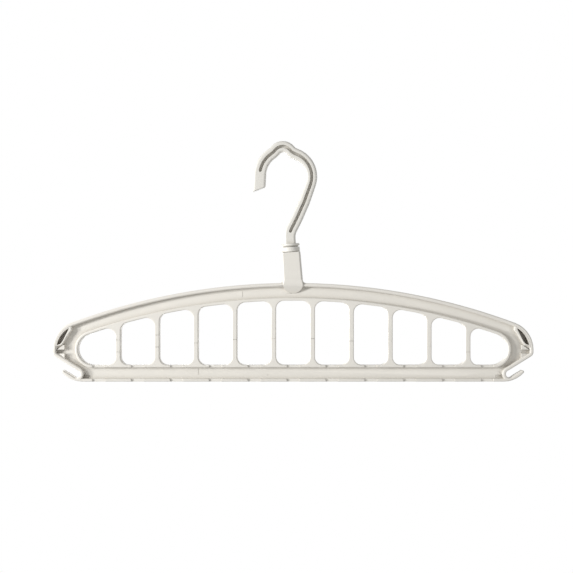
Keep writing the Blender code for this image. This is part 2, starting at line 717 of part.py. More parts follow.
def main():
    for old in list(bpy.data.objects):
        bpy.data.objects.remove(old)
    ivory = new_material("ivory_frame_plastic", IVORY)
    ivory_hook = new_material("ivory_hook_plastic", IVORY_HOOK)

    axis = new_object("swivel_axis", None)
    axis.location = -bump_seat()
    axis.rotation_euler = (0, -NECK_LEAN, 0)

    hook = make_hook()
    hook.parent = axis

    bush = make_bush()
    bush.parent = axis
    bush.location = (0, 0, -DISC_THICKNESS - DISC_GAP)

    frame = make_frame()
    frame.parent = axis
    frame.location = (0, 0, bush.location.z - RING_HEIGHT - SEAT_GAP - NECK_HEIGHT)
    frame.rotation_euler = (0, NECK_LEAN, 0)

    finish(frame, ivory)
    finish(bush, ivory_hook)
    finish(hook, ivory_hook)
    bpy.context.view_layer.update()


main()
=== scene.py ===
# %% [markdown]
# # A multi-hole clothes hanger, dressed for its portrait
# The engineering model gives us three pieces in their true places: the moulded frame, the swivel
# hook and the small bush between them. A picture needs more than that: softer edges, the marks
# that a mould leaves, and a plastic that isn't one flat colour. We load the model first, because
# every other step measures itself from it.

# %% Load the frame
import json
import math

import bpy
from mathutils import Matrix, Vector


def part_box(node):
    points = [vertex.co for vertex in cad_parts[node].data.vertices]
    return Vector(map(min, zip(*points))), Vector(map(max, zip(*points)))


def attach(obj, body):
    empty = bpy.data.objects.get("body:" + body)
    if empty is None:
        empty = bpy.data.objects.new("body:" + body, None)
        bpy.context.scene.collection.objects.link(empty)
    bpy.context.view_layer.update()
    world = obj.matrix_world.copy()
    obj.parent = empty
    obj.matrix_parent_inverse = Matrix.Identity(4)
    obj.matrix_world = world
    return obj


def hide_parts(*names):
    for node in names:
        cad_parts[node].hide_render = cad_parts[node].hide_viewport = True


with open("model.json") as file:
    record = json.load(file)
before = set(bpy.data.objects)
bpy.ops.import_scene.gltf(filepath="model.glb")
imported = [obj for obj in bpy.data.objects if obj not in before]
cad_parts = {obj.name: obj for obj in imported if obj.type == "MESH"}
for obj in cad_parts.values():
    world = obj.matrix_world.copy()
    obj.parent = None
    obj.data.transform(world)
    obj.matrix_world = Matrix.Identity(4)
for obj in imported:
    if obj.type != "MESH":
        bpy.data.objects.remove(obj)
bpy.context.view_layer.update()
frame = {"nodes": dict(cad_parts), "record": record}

# %% [markdown]
# ## The camera
# The photograph looks straight at the front of the hanger. The ends of the holes show a sliver of
# their inner walls, about two pixels wide, and that tells how far away the camera stood: about
# 1.3 m. A long lens at that distance gives nearly parallel lines. The frame is 450 mm wide and
# covers 482 pixels of the 573, so a division gives the size of a pixel at the front of the frame,
# and with it the width of the whole view.

# %% Place the camera
PICTURE_SIDE = 573
PICTURE_MIDDLE = PICTURE_SIDE / 2
FRAME_WIDTH = 0.450
FRAME_PIXELS = 482
PIXEL = FRAME_WIDTH / FRAME_PIXELS
CAMERA_DISTANCE = 1.30
SENSOR = 36.0  # millimetres
FAR_CLIP = 20
ARCH_HEIGHT = 0.09238  # top of the arch above the underside of the rail
ARCH_TOP_PIXEL = (293.0, 282.9)

frame_low, frame_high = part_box("hanger_frame")
arch_top = Vector(((frame_low.x + frame_high.x) / 2, frame_low.y, frame_low.z + ARCH_HEIGHT))
off_arch = Vector((PICTURE_MIDDLE - ARCH_TOP_PIXEL[0], 0, ARCH_TOP_PIXEL[1] - PICTURE_MIDDLE))
middle = arch_top + off_arch * PIXEL

camera_place = middle - Vector((0, CAMERA_DISTANCE, 0))
bpy.ops.object.camera_add(location=camera_place, rotation=(math.pi / 2, 0, 0))
camera = bpy.context.object
camera.data.sensor_width = SENSOR
camera.data.lens = SENSOR * CAMERA_DISTANCE / (PICTURE_SIDE * PIXEL)
camera.data.clip_end = FAR_CLIP
bpy.context.scene.camera = camera
print("lens in mm:", round(camera.data.lens, 1), "looking at", [round(c, 4) for c in middle])

# %% [markdown]
# ## From a pixel to a place
# Small marks are placed by where the picture shows them. A ray runs from the camera through the
# pixel, and we stop it at the depth of the surface that carries the mark. The struts and the rim
# lie 6 mm in front of the middle, and the floor of the channel lies 1.5 mm in front of it.

# %% A point behind a pixel
FRONT_FACE = -0.0060
WEB_FACE = -0.0015
FIFTH_STRUT_MARK = (273.5, 338.5)


def behind_pixel(across, down, depth):
    """The point at a depth, as a world Y, that a pixel of the picture shows."""
    aim = middle + Vector((across - PICTURE_MIDDLE, 0, PICTURE_MIDDLE - down)) * PIXEL
    share = (depth - camera_place.y) / CAMERA_DISTANCE
    return camera_place + (aim - camera_place) * share


place = behind_pixel(*FIFTH_STRUT_MARK, FRONT_FACE)
print("the fifth strut's mark is at", [round(c, 4) for c in place])

# %% [markdown]
# ## Helpers for clean selections
# Blender's operators act on everything that is selected, and the loader leaves its nodes
# selected. So each step starts by letting go of everything and picking only the piece it works
# on. Inside a mesh we choose points or faces with a small test on their place or on the way they
# face.


# %% Pick a piece, and choose inside it
def pick(piece):
    """Select this piece alone and make it the active one."""
    bpy.ops.object.select_all(action="DESELECT")
    piece.select_set(True)
    bpy.context.view_layer.objects.active = piece


def start_choosing(piece, kind):
    """Let go of every point and face, in the mode that chooses one kind of them."""
    pick(piece)
    bpy.ops.object.mode_set(mode="EDIT")
    bpy.ops.mesh.select_mode(type=kind)
    bpy.ops.mesh.select_all(action="DESELECT")
    bpy.ops.object.mode_set(mode="OBJECT")


def choose_points(piece, wanted):
    """Enter edit mode with only the points selected whose place passes a test."""
    start_choosing(piece, "VERT")
    for point in piece.data.vertices:
        point.select = wanted(point.co)
    bpy.ops.object.mode_set(mode="EDIT")


def choose_faces(piece, wanted):
    """Enter edit mode with only the faces selected that pass a test, and count them."""
    start_choosing(piece, "FACE")
    for face in piece.data.polygons:
        face.select = wanted(face)
    chosen = sum(face.select for face in piece.data.polygons)
    bpy.ops.object.mode_set(mode="EDIT")
    return chosen


# %% [markdown]
# ## Whole faces from loose triangles
# The engineering model arrives as loose triangles. We never change that mesh. A copy of it is
# merged, so that neighbouring triangles share their points, and flat groups of triangles become
# one face. Only then can a bevel find the real edges.

# %% A merged copy
MERGE_DISTANCE = 0.00004
FLAT_ANGLE = math.radians(0.3)


def merged_copy(node_name, name):
    """A copy of a node's mesh with its loose triangles joined into whole faces."""
    piece = bpy.data.objects.new(name, frame["nodes"][node_name].data.copy())
    bpy.context.scene.collection.objects.link(piece)
    pick(piece)
    bpy.ops.object.mode_set(mode="EDIT")
    bpy.ops.mesh.select_all(action="SELECT")
    bpy.ops.mesh.remove_doubles(threshold=MERGE_DISTANCE)
    bpy.ops.mesh.dissolve_limited(angle_limit=FLAT_ANGLE)
    bpy.ops.object.mode_set(mode="OBJECT")
    print(name, "has", len(piece.data.vertices), "points,", len(piece.data.polygons), "faces")
    return piece


moulding = merged_copy("hanger_frame", "frame_moulding")
hook = merged_copy("swivel_hook", "hook_moulding")

# %% [markdown]
# ## Cutters and fillers
# Many small features are a block joined to the moulding or cut out of it. Each one starts as a
# cube added at its size and place, and some have an edge moved to make a slope. The frame is the
# same on its left and right, so a feature at one end is copied to the other, with its own mesh.
# All the blocks of one step become one object, and a single exact Boolean uses them all.


# %% Blocks, their twins and one Boolean
def placed(name):
    """Name the new primitive and put its size and place into its mesh."""
    piece = bpy.context.object
    piece.name = name
    bpy.ops.object.transform_apply(location=True, rotation=True, scale=True)
    return piece


def block(name, low, high):
    """A cube added between two corners."""
    low, high = Vector(low), Vector(high)
    bpy.ops.object.select_all(action="DESELECT")
    bpy.ops.mesh.primitive_cube_add(size=1, location=(low + high) / 2, scale=high - low)
    return placed(name)


def move_points(piece, wanted, shift):
    """Slide some of a piece's points, as by hand in edit mode."""
    choose_points(piece, wanted)
    bpy.ops.transform.translate(value=shift)
    bpy.ops.object.mode_set(mode="OBJECT")


def twin(piece):
    """The same solid on the other side of the frame's middle."""
    other = bpy.data.objects.new(piece.name + "_twin", piece.data.copy())
    bpy.context.scene.collection.objects.link(other)
    mirror = Matrix.Scale(-1, 4, Vector((1, 0, 0)))
    other.data.transform(Matrix.Translation((2 * arch_top.x, 0, 0)) @ mirror)
    other.data.flip_normals()
    return other


def combine(piece, solids, operation):
    """Join solids to a piece, or cut them out of it, and remove them."""
    pick(solids[0])
    for solid in solids:
        solid.select_set(True)
    if len(solids) > 1:
        bpy.ops.object.join()
    tool = bpy.context.object
    pick(piece)
    boolean = piece.modifiers.new("boolean", "BOOLEAN")
    boolean.operation = operation
    boolean.solver = "EXACT"
    boolean.object = tool
    bpy.ops.object.modifier_apply(modifier="boolean")
    bpy.data.objects.remove(tool)
    print(piece.name, "after", operation.lower(), "has", len(piece.data.polygons), "faces")


# %% [markdown]
# ## Wedges at the tips
# Just inside each tip of the frame, a wedge stands under a low shelf. The picture shows it as a
# bright triangle at the left and a dim one at the right, so its face turns out towards the tip. A
# block is joined to the moulding after its outer points have slid back, which makes the slope,
# and its lower outer corner has gone up, which makes the triangle.

# %% Make the wedges
TIP_REACH = 0.2250  # middle of the frame to its tip
WEDGE_INNER = TIP_REACH - 0.01135
WEDGE_OUTER = TIP_REACH - 0.0036
WEDGE_FRONT = -0.0051
WEDGE_BACK = -0.0010  # behind the face of the channel's floor, so that the two join
WEDGE_TOP = arch_top.z - 0.06605
WEDGE_HEIGHT = 0.0068
WEDGE_FALL = 0.0013
WEDGE_CORNER_RISE = 0.0038

wedge_low = Vector((arch_top.x + WEDGE_INNER, WEDGE_FRONT, WEDGE_TOP - WEDGE_HEIGHT))
wedge_high = Vector((arch_top.x + WEDGE_OUTER, WEDGE_BACK, WEDGE_TOP))
wedge_middle = (wedge_low + wedge_high) / 2
wedge = block("wedge", wedge_low, wedge_high)
move_points(wedge, lambda p: p.x > wedge_middle.x and p.y < wedge_middle.y, (0, WEDGE_FALL, 0))
move_points(wedge, lambda p: p.x > wedge_middle.x and p.z < wedge_middle.z,
            (0, 0, WEDGE_CORNER_RISE))
combine(moulding, [wedge, twin(wedge)], "UNION")

# %% [markdown]
# ## Sloped ends of the shelves
# The shelf above each wedge isn't flat. At the left the picture shows a grey slope with a small
# bright triangle at its inner end, and at the right the whole shelf is bright. So the slope faces
# inwards and down, and the triangle is what stays of the flat. The cutter is a block whose lower
# inner corner is drawn in to the diagonal, which makes it three-sided, and whose floor rises
# towards the tip.

# %% Slope the shelves
SHELF_FACE = -0.0050
SLOPE_DEPTH = 0.0016
SLOPE_RISE = 0.0014
SLOPE_PROUD = 0.0004  # how far the cutter starts in front of the shelf
CORNER_MARGIN = 0.0010  # a corner lies at least this far from the middle of the block
TIP_CORNER_PIXEL = (57.0, 345.5)
FAR_CORNER_PIXEL = (62.8, 349.3)

tip_corner = behind_pixel(*TIP_CORNER_PIXEL, SHELF_FACE)
far_corner = behind_pixel(*FAR_CORNER_PIXEL, SHELF_FACE)
slope_middle = (tip_corner + far_corner) / 2


def at_the_tip(p):
    """The deep end of the upper corner that is nearest the tip."""
    beside = p.x < slope_middle.x - CORNER_MARGIN
    above = p.z > slope_middle.z + CORNER_MARGIN
    return beside and above and p.y > SHELF_FACE


slope = block("shelf_slope", (tip_corner.x, SHELF_FACE - SLOPE_PROUD, far_corner.z),
              (far_corner.x, SHELF_FACE + SLOPE_DEPTH, tip_corner.z))
move_points(slope, lambda p: p.x > slope_middle.x and p.z < slope_middle.z,
            (slope_middle.x - far_corner.x, 0, slope_middle.z - far_corner.z))
move_points(slope, at_the_tip, (0, -SLOPE_RISE, 0))
combine(moulding, [slope, twin(slope)], "DIFFERENCE")

# %% [markdown]
# ## Soft edges
# No edge of a moulding is sharp, because plastic can't fill a sharp corner of its mould. The cut
# end of the hook is rounder than the rest, so its loop gets a wide bevel of its own. A bevel
# modifier then rounds every other edge.

# %% Round the hook's tip and soften the rest
EDGE_ANGLE = math.radians(25)  # an edge that turns by less is left alone
EDGE_SEGMENTS = 2
FRAME_EDGE = 0.0002
HOOK_EDGE = 0.00022
HOOK_TIP_EDGE = 0.0010


def soften(piece, width):
    """Round every edge of a piece that turns by more than the edge angle."""
    pick(piece)
    rounding = piece.modifiers.new("soft_edges", "BEVEL")
    rounding.width = width
    rounding.segments = EDGE_SEGMENTS
    rounding.limit_method = "ANGLE"
    rounding.angle_limit = EDGE_ANGLE
    rounding.use_clamp_overlap = False
    bpy.ops.object.modifier_apply(modifier="soft_edges")
    print(piece.name, "softened to", len(piece.data.polygons), "faces")


def round_rim_of(piece, wanted, offset, segments):
    """Bevel the loop round some chosen faces."""
    chosen = choose_faces(piece, wanted)
    bpy.ops.mesh.region_to_loop()
    bpy.ops.mesh.bevel(offset=offset, segments=segments, affect="EDGES", clamp_overlap=True)
    bpy.ops.object.mode_set(mode="OBJECT")
    print("rounded the loop of", chosen, "faces of", piece.name)


def cut_end(face):
    """The hook's free end: it faces down, and lies to the left of the crown and below it."""
    return face.normal.z < -0.75 and face.center.x < -0.012 and face.center.z < -0.030


round_rim_of(hook, cut_end, HOOK_TIP_EDGE, segments=4)
soften(moulding, FRAME_EDGE)
soften(hook, HOOK_EDGE)

# %% [markdown]
# ## Triangles before fine cutting
# The faces of the channel are large and have many corners. A small cut in such a face can be
# filled wrongly, so all faces are split into triangles first. The cuts that follow then change
# only the few triangles that they touch.

# %% Split the moulding into triangles
pick(moulding)
bpy.ops.object.mode_set(mode="EDIT")
bpy.ops.mesh.select_all(action="SELECT")
bpy.ops.mesh.quads_convert_to_tris(quad_method="BEAUTY", ngon_method="BEAUTY")
bpy.ops.object.mode_set(mode="OBJECT")
print("triangles:", len(moulding.data.polygons))

# %% [markdown]
# ## Corings at the tips
# A small hollow lies between the shelf and the wedge, and another at the blind end of each strap
# notch. A mould maker cores such thick corners out, with a floor that rises inwards. The picture
# shows the hollows nearly black at the left, where the raised edge stands between the lamp and
# their deep end. At the right the light falls straight in, and they hardly show.

# %% Shape the corings
CORING_PROUD = 0.0001  # how far the cutter starts in front of the channel's floor


def coring(name, across, up, depth, rise):
    """A cutter into the channel's floor, shallower at its inner end by the rise.

    Its sides are measured across from the middle of the frame and up from the top of the arch.
    """
    piece = block(name, (arch_top.x + across[0], WEB_FACE - CORING_PROUD, arch_top.z + up[0]),
                  (arch_top.x + across[1], WEB_FACE + depth, arch_top.z + up[1]))
    centre = arch_top.x + sum(across) / 2
    move_points(piece, lambda p: p.x < centre and p.y > WEB_FACE, (0, -rise, 0))
    return piece


tip_coring = coring("tip_coring", across=(0.2146, 0.2214), up=(-0.0659, -0.0627),
                    depth=0.0008, rise=0.0006)
notch_coring = coring("notch_coring", across=(0.1900, 0.1972), up=(-0.0895, -0.0862),
                      depth=0.0016, rise=0.0014)
cutters = [tip_coring, twin(tip_coring), notch_coring, twin(notch_coring)]
print("corings:", len(cutters))

# %% [markdown]
# ## Dashes and scars
# Every strut has a faint dash across its face, where the two halves of a slide met. The channel
# has a thin scar above the fifth hole, and the rail has another one and two pits. Each dash is a
# three-sided prism laid across its strut, and the others are blocks. They are the places that the
# picture shows, so they are written as pixels.

# %% Cutters for the dashes and scars
DASHES = [(118, 340), (157.5, 335), (157.5, 347), (196, 343), (235, 339.5), FIFTH_STRUT_MARK,
          (313, 338.5), (352, 341), (390, 341), (429, 347), (468, 352), (118.5, 352)]
DASH_SIDES = 3
DASH_RADIUS = 0.0006
DASH_LENGTH = 0.0036
SCARS = [((242.4, 291.2), (242.8, 297.0)), ((198.3, 368.6), (198.7, 375.0)),
         ((267.0, 374.6), (268.6, 375.3)), ((465.4, 375.6), (467.0, 376.2))]
SCAR_DEPTH = 0.0003
SCAR_PROUD = 0.0005
ALONG_X = (0, math.pi / 2, 0)
ALONG_Y = (math.pi / 2, 0, 0)


def rod(name, sides, radius, length, place, turn):
    """A cylinder added at its size and place, and turned."""
    bpy.ops.object.select_all(action="DESELECT")
    bpy.ops.mesh.primitive_cylinder_add(vertices=sides, radius=radius, depth=length,
                                        location=place, rotation=turn)
    return placed(name)


def scar(first, second):
    """A shallow cutter between two pixels of the channel's floor."""
    a, b = behind_pixel(*first, WEB_FACE), behind_pixel(*second, WEB_FACE)
    return block("scar", (a.x, WEB_FACE - SCAR_PROUD, b.z), (b.x, WEB_FACE + SCAR_DEPTH, a.z))


for pixel in DASHES:
    place = behind_pixel(*pixel, FRONT_FACE)
    cutters.append(rod("dash", DASH_SIDES, DASH_RADIUS, DASH_LENGTH, place, ALONG_X))
cutters += [scar(*pixels) for pixels in SCARS]
print("corings, dashes and scars:", len(cutters))

# %% [markdown]
# ## Nicks at the recesses
# Under the middle of each hole the face of the rail steps back a little. All of these shallow
# recesses but the two outermost have a small slanted nick at their lower left corner. A block
# cuts it, with its right end moved down.

# %% Cutters for the nicks
NICKS = [(132.0, 379.0), (170.6, 379.0), (209.5, 379.0), (248.6, 379.2), (287.8, 379.0),
         (326.6, 379.0), (365.6, 379.0), (404.4, 379.0), (443.2, 379.0)]
NICK_HALF_LENGTH = 0.0016
NICK_DEPTH = 0.0016
NICK_PROUD = 0.0004
NICK_BELOW = 0.0002
NICK_ABOVE = 0.0008
NICK_SLANT = 0.0007

for across, down in NICKS:
    place = behind_pixel(across, down, FRONT_FACE)
    nick = block(
        "nick",
        (place.x - NICK_HALF_LENGTH, FRONT_FACE - NICK_PROUD, place.z - NICK_BELOW),
        (place.x + NICK_HALF_LENGTH, FRONT_FACE + NICK_DEPTH, place.z + NICK_ABOVE),
    )
    move_points(nick, lambda p: p.x > place.x, (0, 0, -NICK_SLANT))
    cutters.append(nick)
print("cutters with the nicks:", len(cutters))

# %% [markdown]
# ## Ejector marks on the back
# Pins push a moulding out of its mould, and each leaves a faint round print. They are put on the
# side that nobody looks at, so they belong on the back of the channel: eight along the arch,
# which leave out the foot of the neck, and seven along the rail. A short cylinder is the cutter,
# because the print really is a flat round step. One Boolean then makes all the small cuts.

# %% Cut the ejector marks and all other marks
WEB_BACK = -WEB_FACE
PIN_SIDES = 28
PIN_RADIUS = 0.0021
PIN_LENGTH = 0.0020
PRINT_DEPTH = 0.00015
ARCH_RADIUS = 0.5962  # of the curve that the arch follows
ARCH_PITCH = 0.0410
ARCH_DROP = 0.0087  # top of the arch down to the row of prints under it
RAIL_PITCH = 0.0545
RAIL_DROP = 0.0842


def pin_print(across, drop):
    """A round cutter that reaches a little into the back of the channel's floor."""
    depth = WEB_BACK + PIN_LENGTH / 2 - PRINT_DEPTH
    place = (arch_top.x + across, depth, arch_top.z - drop)
    return rod("pin_print", PIN_SIDES, PIN_RADIUS, PIN_LENGTH, place, ALONG_Y)


for i in (-4, -3, -2, -1, 1, 2, 3, 4):
    across = i * ARCH_PITCH
    fall = ARCH_RADIUS - math.sqrt(ARCH_RADIUS**2 - across**2)
    cutters.append(pin_print(across, ARCH_DROP + fall))
for i in range(-3, 4):
    cutters.append(pin_print(i * RAIL_PITCH, RAIL_DROP))
combine(moulding, cutters, "DIFFERENCE")

# %% [markdown]
# ## The foot of the neck
# The neck ends in a rounded apron that stands on the channel. Its face runs straight down over
# the raised edge and only then curves in, so that no line crosses it. A short round plug fills
# the apron: a cylinder with rounded rims, whose front and back are sliced by planes that turn a
# little further each time, as a carver would. It becomes part of the moulding last of all,
# because it brings its own soft edges. Its flat stands a hair proud and dips under the neck's
# face further up, so that the two never lie in one plane.

# %% Start the plug
EPS = 0.000002  # places that differ by less are the same
NECK_FACE = 0.00753
PLUG_SIDES = 64
PLUG_RADIUS = 0.0095
PLUG_CENTRE = Vector((arch_top.x, 0, arch_top.z - 0.0004))
PLUG_TOP = arch_top.z + 0.0045
RIM_EDGE = 0.0014
FOOT_EDGE = 0.0005


def slice_away(piece, through, facing):
    """Cut a piece by a plane and close it, keeping what lies behind the plane."""
    choose_points(piece, lambda p: True)
    bpy.ops.mesh.bisect(plane_co=through, plane_no=facing, use_fill=True, clear_outer=True,
                        threshold=EPS)
    bpy.ops.object.mode_set(mode="OBJECT")


plug = rod("apron_plug", PLUG_SIDES, PLUG_RADIUS, 2 * NECK_FACE, PLUG_CENTRE, ALONG_Y)
round_rim_of(plug, lambda f: abs(f.normal.y) > 0.9, RIM_EDGE, segments=4)

# %% [markdown]
# ### Its curved face
# The slope runs from the flat down to the channel's floor. All planes touch one round curve that
# starts above the slope, so together they look like a bend. The first of them leans the other way
# by less than a degree, which is what makes the flat dip.

# %% Carve the plug and join it
SLOPE_TOP = arch_top.z - 0.0017
SLOPE_FOOT = arch_top.z - 0.0100
CURVE_LENGTH = 0.0030
CUTS = 5
DIP = math.radians(-0.7)


def faces_the_slope(face):
    """A face of the front or back that leans down."""
    return abs(face.normal.y) > 0.7 and face.normal.z < -0.1


full_turn = math.atan((NECK_FACE + WEB_FACE) / (SLOPE_TOP - SLOPE_FOOT))
turns = [DIP] + [full_turn * i / CUTS for i in range(1, CUTS + 1)]
curve_radius = CURVE_LENGTH / math.tan(full_turn / 2)
for side in (-1, 1):
    centre = Vector((arch_top.x, side * (NECK_FACE - curve_radius), SLOPE_TOP + CURVE_LENGTH))
    for turn in turns:
        facing = Vector((0, side * math.cos(turn), -math.sin(turn)))
        slice_away(plug, centre + facing * curve_radius, facing)
round_rim_of(plug, faces_the_slope, FOOT_EDGE, segments=3)
slice_away(plug, (arch_top.x, 0, PLUG_TOP), (0, 0, 1))
pick(moulding)
plug.select_set(True)
bpy.ops.object.join()
print("moulding with its apron:", len(moulding.data.polygons), "faces")

# %% [markdown]
# ## Flats that look flat
# Smooth shading blends the normals of a rounded edge into the flat beside it, and the flat then
# looks dented. The weighted normal modifier lets the larger face win at each corner, so flats
# stay flat and only the roundings turn. After that the two pieces are finished, and each one
# takes the place of its node.

# %% Keep the flats flat, and hand over
SMOOTH_ANGLE = math.radians(40)
LARGE_FACE_WEIGHT = 90


def flatten_shading(piece):
    """Shade smooth by angle, then let the larger faces set the normals."""
    pick(piece)
    bpy.ops.object.shade_smooth_by_angle(angle=SMOOTH_ANGLE)
    weighting = piece.modifiers.new("flat_faces", "WEIGHTED_NORMAL")
    weighting.keep_sharp = True
    weighting.weight = LARGE_FACE_WEIGHT
    bpy.ops.object.modifier_apply(modifier="flat_faces")


flatten_shading(moulding)
flatten_shading(hook)
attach(moulding, "hanger")
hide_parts("hanger_frame")
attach(hook, "hook")
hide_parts("swivel_hook")
print("handed over:", moulding.name, "and", hook.name)

# %% [markdown]
# ## The bush
# The bush is a turned shape: a ring that shows under the hook's disc, and a thin sleeve inside
# the neck. A turned shape is easiest to spin. We draw half of its section as a plane, bisect it
# where the sleeve's outside will be, extrude the inner part down, and round the corners that show.

# %% Half the section of the bush
BORE_RADIUS = 0.0033
SLEEVE_RADIUS = 0.0055
SLEEVE_LENGTH = 0.0140
RING_RADIUS = 0.00865
RING_HEIGHT = 0.0046
RING_EDGE = 0.0007
RING_SEGMENTS = 4

section_middle = ((BORE_RADIUS + RING_RADIUS) / 2, 0, -RING_HEIGHT / 2)
bpy.ops.object.select_all(action="DESELECT")
bpy.ops.mesh.primitive_plane_add(size=1, location=section_middle, rotation=ALONG_Y)
bpy.context.object.scale = (RING_RADIUS - BORE_RADIUS, RING_HEIGHT, 1)
bush = placed("bush_moulding")
choose_points(bush, lambda p: True)
bpy.ops.mesh.bisect(plane_co=(SLEEVE_RADIUS, 0, 0), plane_no=(1, 0, 0))
bpy.ops.object.mode_set(mode="OBJECT")
choose_points(bush, lambda p: p.x < SLEEVE_RADIUS + EPS and p.z < EPS - RING_HEIGHT)
bpy.ops.mesh.extrude_region_move(TRANSFORM_OT_translate={"value": (0, 0, -SLEEVE_LENGTH)})
bpy.ops.mesh.select_all(action="SELECT")
bpy.ops.mesh.dissolve_faces()
bpy.ops.object.mode_set(mode="OBJECT")
choose_points(bush, lambda p: p.x > RING_RADIUS - EPS)
bpy.ops.mesh.bevel(offset=RING_EDGE, segments=RING_SEGMENTS, affect="VERTICES")
bpy.ops.object.mode_set(mode="OBJECT")
print("half section of the bush:", len(bush.data.vertices), "points")

# %% [markdown]
# ### A full turn
# The outline alone is spun, so its face is deleted first. The spin makes the bush upright at the
# origin, with its normals made to point outwards. Then it is leaned onto the axis of the neck,
# which the record of the joint gives.

# %% Spin the section and lean it onto the joint's axis
SPIN_STEPS = 96
SEAM_DISTANCE = 0.00002
RING_BELOW_DISC_TOP = 0.0031

joint = frame["record"]["behaviour"]["joints"][0]
axis = Vector(joint["axis"])
choose_points(bush, lambda p: True)
bpy.ops.mesh.delete(type="ONLY_FACE")
bpy.ops.mesh.select_all(action="SELECT")
bpy.ops.mesh.spin(steps=SPIN_STEPS, angle=math.tau, center=(0, 0, 0), axis=(0, 0, 1))
bpy.ops.mesh.select_all(action="SELECT")
bpy.ops.mesh.remove_doubles(threshold=SEAM_DISTANCE)
bpy.ops.mesh.normals_make_consistent(inside=False)
bpy.ops.object.mode_set(mode="OBJECT")
lean = axis.to_track_quat("Z", "Y").to_matrix().to_4x4()
ring_top = Vector(joint["pos_m"]) - axis * RING_BELOW_DISC_TOP
bush.data.transform(Matrix.Translation(ring_top) @ lean)
flatten_shading(bush)
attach(bush, "hanger")
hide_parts("neck_bush")
print(bush.name, "has", len(bush.data.polygons), "faces, axis", [round(c, 3) for c in axis])

# %% [markdown]
# ## Plastic, built once
# Both mouldings are the same family of satin plastic, so the look is one node group that each
# material places with its own values. First come small helpers that add a node, wire it, and give
# back the socket that carries its result, so that a chain of nodes reads like a sum.


# %% Helpers for node trees
def add(tree, kind, **values):
    """Add a node and set its plain properties."""
    node = tree.nodes.new(kind)
    for name, value in values.items():
        setattr(node, name, value)
    return node


def feed(tree, value, socket):
    """Give a socket a number, or wire it to the socket that carries its value."""
    if isinstance(value, (int, float)):
        socket.default_value = value
    else:
        tree.links.new(value, socket)


def number(tree, operation, first, second):
    """A Math node on two sockets or numbers, giving its output socket."""
    node = add(tree, "ShaderNodeMath", operation=operation)
    for socket, value in zip(node.inputs, (first, second)):
        feed(tree, value, socket)
    return node.outputs[0]


def spread(tree, value, low, high, to_low, to_high):
    """A Map Range node from sockets or numbers, giving its output socket."""
    node = add(tree, "ShaderNodeMapRange")
    for socket, given_value in zip(node.inputs, (value, low, high, to_low, to_high)):
        feed(tree, given_value, socket)
    return node.outputs[0]


# %% [markdown]
# ### Sockets of the group
# Seen close, such plastic has a fine spark-eroded grain, a slow cloudiness from the pigment, and
# streaks that follow the way it flowed. Its inner corners also get painted shade: a darker colour
# that stands in for the shadow falling there. Each of these gets an amount or a scale as a named
# input. The group reads Object coordinates, so the pattern stays on the piece from every side.

# %% Sockets of the plastic group
GROUP_INPUTS = [
    ("Place", "NodeSocketVector", None),
    ("Colour", "NodeSocketColor", (0.7, 0.7, 0.7, 1)),
    # The painted shade of the inner corners: its darker colour, then how strongly it is mixed in.
    ("Painted Shade", "NodeSocketColor", (0.3, 0.27, 0.22, 1)),
    ("Painted Shade Amount", "NodeSocketFloat", 0.3),
    ("Cloud Scale", "NodeSocketFloat", 30.0),
    ("Cloud Amount", "NodeSocketFloat", 0.02),
    ("Streak Amount", "NodeSocketFloat", 0.01),
    ("Grain Scale", "NodeSocketFloat", 2600.0),
    ("Satin", "NodeSocketFloat", 0.42),
    ("Satin Spread", "NodeSocketFloat", 0.08),
]
GROUP_OUTPUTS = [
    ("Colour", "NodeSocketColor"),
    ("Roughness", "NodeSocketFloat"),
    ("Height", "NodeSocketFloat"),
]

group = bpy.data.node_groups.new("moulded_plastic", "ShaderNodeTree")
for name, kind, value in GROUP_INPUTS:
    socket = group.interface.new_socket(name=name, in_out="INPUT", socket_type=kind)
    if value is not None:
        socket.default_value = value
for name, kind in GROUP_OUTPUTS:
    group.interface.new_socket(name=name, in_out="OUTPUT", socket_type=kind)
given = add(group, "NodeGroupInput").outputs
result = add(group, "NodeGroupOutput").inputs
print("plastic group:", len(GROUP_INPUTS), "inputs,", len(GROUP_OUTPUTS), "outputs")

# %% [markdown]
# ### Clouds and streaks
# The cloudiness is plain noise at the size of a thumb. The streaks are the same noise with its
# coordinates squeezed, long across the hanger and short the other ways, as the melt ran. Noise
# stays near its middle, so its values from 0.3 to 0.7 are spread to a full swing either way.

# %% Clouds and streaks
STREAK_SQUEEZE = (9, 130, 130)


def noise(place, scale, detail):
    """A Noise Texture at a place, with its scale as a socket or a number."""
    texture = add(group, "ShaderNodeTexNoise")
    texture.inputs["Detail"].default_value = detail
    feed(group, place, texture.inputs["Vector"])
    feed(group, scale, texture.inputs["Scale"])
    return texture.outputs[0]


def swing(value, amount):
    """A noise value as a swing round zero, times an amount."""
    return number(group, "MULTIPLY", spread(group, value, 0.3, 0.7, -1.0, 1.0), amount)


clouds = noise(given["Place"], given["Cloud Scale"], detail=4)
squeeze = add(group, "ShaderNodeMapping")
squeeze.inputs["Scale"].default_value = STREAK_SQUEEZE
feed(group, given["Place"], squeeze.inputs["Vector"])
streaks = noise(squeeze.outputs[0], 1.0, detail=2)

tone = number(group, "ADD", swing(clouds, given["Cloud Amount"]),
              swing(streaks, given["Streak Amount"]))
toned = add(group, "ShaderNodeVectorMath", operation="SCALE")
feed(group, given["Colour"], toned.inputs[0])
feed(group, number(group, "ADD", tone, 1.0), toned.inputs["Scale"])
print("clouds and streaks make", len(group.nodes), "nodes")

# %% [markdown]
# ### Painted shade in the corners
# Ambient occlusion asks how much of the nearby space is open. It is low in the corners of the
# channel and at the foot of the struts, which is where shade falls. There it mixes a darker colour
# in as painted shade, and it doesn't depend on where the camera stands.

# %% Painted shade
PAINTED_SHADE_REACH = 0.0045
CLOSED, OPEN = 0.35, 0.95  # how open a corner with the full painted shade and a face with none are
WEAKEST_SHADE, FULLEST_SHADE = 0.7, 1.0  # the painted shade where the clouds are darkest and where they are brightest
MIX_A, MIX_B, MIX_RESULT = 6, 7, 2  # the colour sockets of a Mix node
